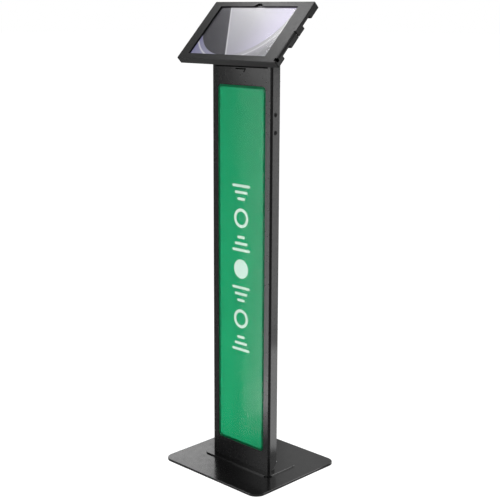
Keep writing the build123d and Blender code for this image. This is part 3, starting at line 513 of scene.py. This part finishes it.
def rounded(mid, size, radius, steps=6):
    """Outline of a rectangle with round corners, as flat (x, y) pairs."""
    points = []
    for corner, (sx, sy) in enumerate(((1, 1), (-1, 1), (-1, -1), (1, -1))):
        cx, cy = mid[0] + sx * (size[0] / 2 - radius), mid[1] + sy * (size[1] / 2 - radius)
        for i in range(steps + 1):
            angle = math.pi / 2 * (corner + i / steps)
            points.append((cx + radius * math.cos(angle), cy + radius * math.sin(angle)))
    return points


def circle(mid, radius, steps=40):
    return [(mid[0] + radius * math.cos(2 * math.pi * i / steps),
             mid[1] + radius * math.sin(2 * math.pi * i / steps)) for i in range(steps)]


# ---- Materials of the CAD nodes -----------------------------------------------------------------
def lens_centre():
    (u0, u1), (v0, v1), (_, w1) = head_span("tablet_camera")
    return in_head((u0 + u1) / 2, (v0 + v1) / 2, w1)


def lock_centre():
    spans = head_span("lock_plug")
    return in_head(*[middle(span) for span in spans])


LOOKS = {
    "mat_rubber": rubber("rubber_mat", rib=0.004),
    "base_coat": powder("base_powder_coat", (0.0030, 0.0030, 0.0031), 0.20, 0.0022, 0.000010),
    "column_coat": powder("column_powder_coat", (0.0055, 0.0055, 0.0057), 0.25, 0.0014, 0.000012,
                          specular=0.30),
    "cover_coat": powder("cover_powder_coat", (0.0055, 0.0055, 0.0057), 0.32, 0.0014, 0.000012,
                         specular=0.28),
    "frame_coat": powder("frame_powder_coat", (0.0095, 0.0095, 0.0095), 0.38, 0.0012, 0.000060,
                         specular=0.3, flecks=0.45),
    "inner_steel": powder("matt_black_coat", (0.012, 0.012, 0.0120), 0.55, 0.0012, 0.000020),
    "zinc": zinc_plate("zinc_plate"),
    "black_screw": black_oxide("black_oxide"),
    "acrylic": clear_plastic("clear_acrylic"),
    "print": printed("green_print", PRINT_GREEN),
    "tape": printed("green_border", PRINT_GREEN),
    "backing": powder("backing_black_coat", (0.006, 0.006, 0.006), 0.45, 0.0012, 0.000014,
                      specular=0.2),
    "nylon": nylon("natural_nylon"),
    "hook_steel": powder("hook_black_coat", (0.0015, 0.0015, 0.0015), 0.7, 0.0010, 0.000014,
                         specular=0.05),
    "grommet": rubber("grommet_rubber"),
    "foam": foam("closed_cell_foam"),
    "tablet_shell": blasted_shell("tablet_aluminium"),
    "display": display_look("lit_display"),
    "screen_glass": screen_glass("cover_glass"),
    "lens": lens_look("camera_lens", lens_centre()),
    "lock_chrome": chrome("lock_plating", lock_centre()),
}


def dress_nodes():
    for row in frame["record"]["subparts"]:
        mesh = NODES[row["node"]].data
        mesh.materials.clear()
        mesh.materials.append(LOOKS[row["material_slot"]])
    NODES["panel_cover"].visible_shadow = False     # light reaches the print behind it
    for name in ("panel_cover", "panel_print", "panel_tape"):
        NODES[name].visible_glossy = False      # the photo's base mirrors no green


# ---- Added pieces -------------------------------------------------------------------------------
MOTIF_TOP, MOTIF_STEP, MOTIF_ROWS = 0.659, 0.0593, 7
MOTIF_GAP, MOTIF_T = 0.00002, 0.00004       # in front of the print, and its own thickness
BAR_WIDTHS, BAR_H, BAR_STEP = (0.056, 0.040, 0.024), 0.0062, 0.015
RING_R, RING_HOLE_R = 0.0225, 0.0155


def panel_motif():
    """White motif on the green panel, from the top: bars, ring, bars, disc, bars, ring, bars."""
    low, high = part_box("panel_print")
    x, y = (low.x + high.x) / 2, low.y
    lift = Vector((0, -MOTIF_T, 0))

    def stand(points, z):
        return [(x + p[0], y - MOTIF_GAP, z + p[1]) for p in points]

    def build(bm):
        for row in range(MOTIF_ROWS):
            z = MOTIF_TOP - row * MOTIF_STEP
            disc = stand(circle((0, 0), RING_R), z)
            if row % 2 == 0:
                widths = BAR_WIDTHS if row % 4 == 0 else BAR_WIDTHS[::-1]
                for k, width in enumerate(widths):
                    bar = rounded((0, BAR_STEP - BAR_STEP * k), (width, BAR_H), BAR_H / 2)
                    prism(bm, stand(bar, z), lift)
            elif row % 4 == 1:
                band(bm, disc, stand(circle((0, 0), RING_HOLE_R), z), lift)
            else:
                prism(bm, disc, lift)
    mesh = to_mesh("panel_motif", build)
    white = printed("white_print", (0.50, 0.62, 0.56), streak=0.01)
    add_piece("panel_motif", mesh, white, "stand").visible_glossy = False


def head_piece(name, mesh, material, body="head", smooth=False):
    """Adds a mesh drawn in head coordinates."""
    mesh.transform(HEAD_TURN.to_4x4())
    return add_piece(name, mesh, material, body, smooth)


def at_level(points, w):
    return [(u, v, w) for u, v in points]


def loft(bm, loops, capped=True):
    """Closed skin over loops of points, each with the same count."""
    rings = [[bm.verts.new(p) for p in loop] for loop in loops]
    for low, high in zip(rings, rings[1:]):
        for i in range(len(low)):
            j = (i + 1) % len(low)
            bm.faces.new((low[i], low[j], high[j], high[i]))
    if capped:
        bm.faces.new(list(reversed(rings[0])))
        bm.faces.new(rings[-1])


def flat_solid(name, outlines, low, high):
    """Plate with holes: the first outline is its edge and the others are holes."""
    curve = bpy.data.curves.new(name, "CURVE")
    curve.dimensions = "2D"
    curve.fill_mode = "BOTH"
    curve.extrude = (high - low) / 2
    for outline in outlines:
        spline = curve.splines.new("POLY")
        spline.points.add(len(outline) - 1)
        for point, (u, v) in zip(spline.points, outline):
            point.co = (u, v, 0, 1)
        spline.use_cyclic_u = True
    holder = bpy.data.objects.new(name, curve)
    mesh = bpy.data.meshes.new_from_object(holder)
    bpy.data.objects.remove(holder)
    bpy.data.curves.remove(curve)
    mesh.transform(Matrix.Translation((0, 0, (low + high) / 2)))
    return mesh


def glass_border_and_painted_shade():
    """Black ink under the edge of the tablet's glass, with an opening for the camera. On the left and at the top
    it reaches further over the display as painted shade of the window's inner wall.
    """
    (u0, u1), (v0, v1), (w0, _) = head_span("tablet_glass")
    (d0, d1), (e0, e1), _ = head_span("tablet_display")
    camera = [middle(span) for span in head_span("tablet_camera")[:2]]
    inset, corner, steps = 0.0006, 0.0082, 10
    size = (u1 - u0 - inset, v1 - v0 - inset)
    edge = rounded(((u0 + u1) / 2, (v0 + v1) / 2), size, corner, steps)
    # How far the ink reaches over the display: on the left, at the top, and on the other sides. The wider reach on
    # the left and at the top is painted shade, a black strip standing in for the shadowed inner wall of the
    # window.
    lap_left_with_painted_shade, lap_top_with_painted_shade, lap = 0.0018, 0.0026, 0.0003
    opening = rounded(((d0 + d1 + lap_left_with_painted_shade - lap) / 2, (e0 + e1 + lap - lap_top_with_painted_shade) / 2),
                      (d1 - d0 - lap_left_with_painted_shade - lap, e1 - e0 - lap_top_with_painted_shade - lap), 0.0008)
    outlines = [edge, opening, circle(camera, 0.0017)]
    mesh = flat_solid("glass_border_and_painted_shade", outlines, w0 + 0.00002, w0 + 0.00006)
    look = Look("border_ink_and_painted_shade", Specular_IOR_Level=0.4)
    share = look.noise(0.002)
    look.set("Base_Color", look.mix(share, (0.004, 0.004, 0.005), (0.007, 0.007, 0.008)))
    look.set("Roughness", look.span(look.noise(0.0008), 0.3, 0.7, 0.30, 0.42))
    head_piece("glass_border_and_painted_shade", mesh, look.material)


def camera_ring():
    """Turned metal ring on the camera, just under the glass."""
    (u0, u1), (v0, v1), (_, w1) = head_span("tablet_camera")
    mid, radius = ((u0 + u1) / 2, (v0 + v1) / 2), (u1 - u0) / 2

    def build(bm):
        profile = ((radius - 0.00005, 0.00001), (radius - 0.00010, 0.00007),
                   (radius - 0.00045, 0.00007), (radius - 0.00055, 0.00001))
        loops = [at_level(circle(mid, r), w1 + lift) for r, lift in profile]
        loft(bm, loops + loops[:1], capped=False)
    mesh = to_mesh("camera_ring", build)
    metal = brushed_aluminium("ring_metal", 0.25, lines=False)
    head_piece("camera_ring", mesh, metal, smooth=True)


def port_inside():
    """Contact tongue and liner of the charging port."""
    (_, u1), (v0, v1), _ = head_span("tablet_body")
    w0, w1 = head_span("power_button")[2]
    mid_v, mid_w = (v0 + v1) / 2, (w0 + w1) / 2

    def tongue(bm):
        length, half, thick = 0.0052, 0.0032, 0.0007
        outline = rounded((u1 - 0.0068 + length / 2, mid_v), (length, 2 * half), 0.0004, 4)
        loft(bm, [at_level(outline, mid_w - thick / 2), at_level(outline, mid_w + thick / 2)])

    def liner(bm):
        loops = []
        inner, outer = u1 - 0.0066, u1 - 0.0001
        wide, narrow = (0.0086, 0.0023), (0.0080, 0.0017)
        for u, size in ((inner, wide), (outer, wide), (outer, narrow), (inner, narrow)):
            outline = rounded((mid_v, mid_w), size, size[1] * 0.48, 8)
            loops.append([(u, v, w) for v, w in outline])
        loft(bm, loops + loops[:1], capped=False)
    metal = brushed_aluminium("port_metal", 0.3, lines=False)
    plastic = black_oxide("port_plastic")
    head_piece("port_tongue", to_mesh("port_tongue", tongue), plastic)
    head_piece("port_liner", to_mesh("port_liner", liner), metal, smooth=True)


PAD_SIZE = (0.040, 0.030)


def soft_pads():
    """Four foam pads behind the tablet: flat where they press on it, with soft rolled edges."""
    (u0, u1), (v0, v1), (w0, w1) = head_span("foam_pads")
    half_u, half_v = PAD_SIZE[0] / 2, PAD_SIZE[1] / 2
    inset_of = ((0.00085, 0.0), (0.00030, 0.10), (0.00004, 0.30), (0.0, 0.5), (0.00004, 0.70),
                (0.00030, 0.90), (0.00085, 1.0))

    def build(bm):
        for mid in ((u, v) for u in (u0 + half_u, u1 - half_u) for v in (v0 + half_v, v1 - half_v)):
            loops = []
            for inset, share in inset_of:
                size = (PAD_SIZE[0] - 2 * inset, PAD_SIZE[1] - 2 * inset)
                loops.append(at_level(rounded(mid, size, 0.003 - inset, 8), w0 + (w1 - w0) * share))
            loft(bm, loops)
    mesh = to_mesh("foam_pads_soft", build)
    piece = head_piece("foam_pads_soft", mesh, LOOKS["foam"], smooth=True)
    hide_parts("foam_pads")


def soft_gasket():
    """Foam strip around the window, with rolled edges, open at the camera."""
    (u0, u1), (v0, v1), (w0, w1) = head_span("frame_gasket")
    width, gap, corner = 0.0075, 0.0150, 0.0030
    camera_u = middle(head_span("tablet_camera")[0])
    mid = ((u0 + u1) / 2, (v0 + v1) / 2)

    def ring_path(shift):
        size = (u1 - u0 - width + 2 * shift, v1 - v0 - width + 2 * shift)
        return rounded(mid, size, corner + shift, 8)
    section = ((0.5, 0.25), (0.46, 0.06), (0.40, 0.0), (-0.40, 0.0), (-0.46, 0.06), (-0.5, 0.25),
               (-0.5, 0.75), (-0.46, 0.94), (-0.40, 1.0), (0.40, 1.0), (0.46, 0.94), (0.5, 0.75))

    def build(bm):
        paths = [ring_path(across * (width - 0.0006)) for across, _ in section]
        # Points 0 to 8 turn the upper right corner and the rest follow anticlockwise, so this order
        # runs clockwise round the window, from the camera's right side to its left
        count = len(paths[0])
        order = list(range(8, -1, -1)) + list(range(count - 1, 8, -1))
        stations = [[(path[i][0], path[i][1], w0 + (w1 - w0) * lift)
                     for path, (_, lift) in zip(paths, section)] for i in order]
        for end, sign in ((0, 1), (-1, -1)):
            cut = [(camera_u + sign * gap, p[1], p[2]) for p in stations[end]]
            stations.insert(0 if end == 0 else len(stations), cut)
        loft(bm, stations)
    mesh = to_mesh("gasket_soft", build)
    piece = head_piece("gasket_soft", mesh, LOOKS["foam"], body="screen_frame", smooth=True)
    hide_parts("frame_gasket")


def weld_beads():
    """Scalloped beads where the bracket's cheeks meet its sloping plate."""
    plate_t, sink = 0.003, 0.0003
    plate_back = head_span("swivel_washer")[2][0] - plate_t
    mid_v = middle(head_span("swivel_disc")[1])
    radius, pitch, steps = 0.0014, 0.0022, 10
    start, end = mid_v - 0.030, mid_v + 0.032
    cheek_out, cheek_in, off_cheek = 0.0720, 0.0690, 0.0004

    def build(bm):
        for side in (-1, 1):
            for face_u in (cheek_out + off_cheek, cheek_in - off_cheek):
                loops = []
                count = int((end - start) / pitch) * 4
                for k in range(count + 1):
                    v = start + (end - start) * k / count
                    wave = 0.80 + 0.20 * abs(math.sin(math.pi * k / 4))
                    r = radius * (wave if 0 < k < count else 0.3)
                    turn = [2 * math.pi * i / steps for i in range(steps)]
                    loops.append([(side * face_u + r * math.cos(a), v,
                                   plate_back - sink + r * math.sin(a)) for a in turn])
                loft(bm, loops)
    mesh = to_mesh("weld_beads", build)
    head_piece("weld_beads", mesh, LOOKS["inner_steel"], body="stand", smooth=True)


make_camera()
make_world()
make_floor()
make_softboxes()
dress_nodes()
panel_motif()
glass_border_and_painted_shade()
camera_ring()
port_inside()
soft_pads()
soft_gasket()
weld_beads()
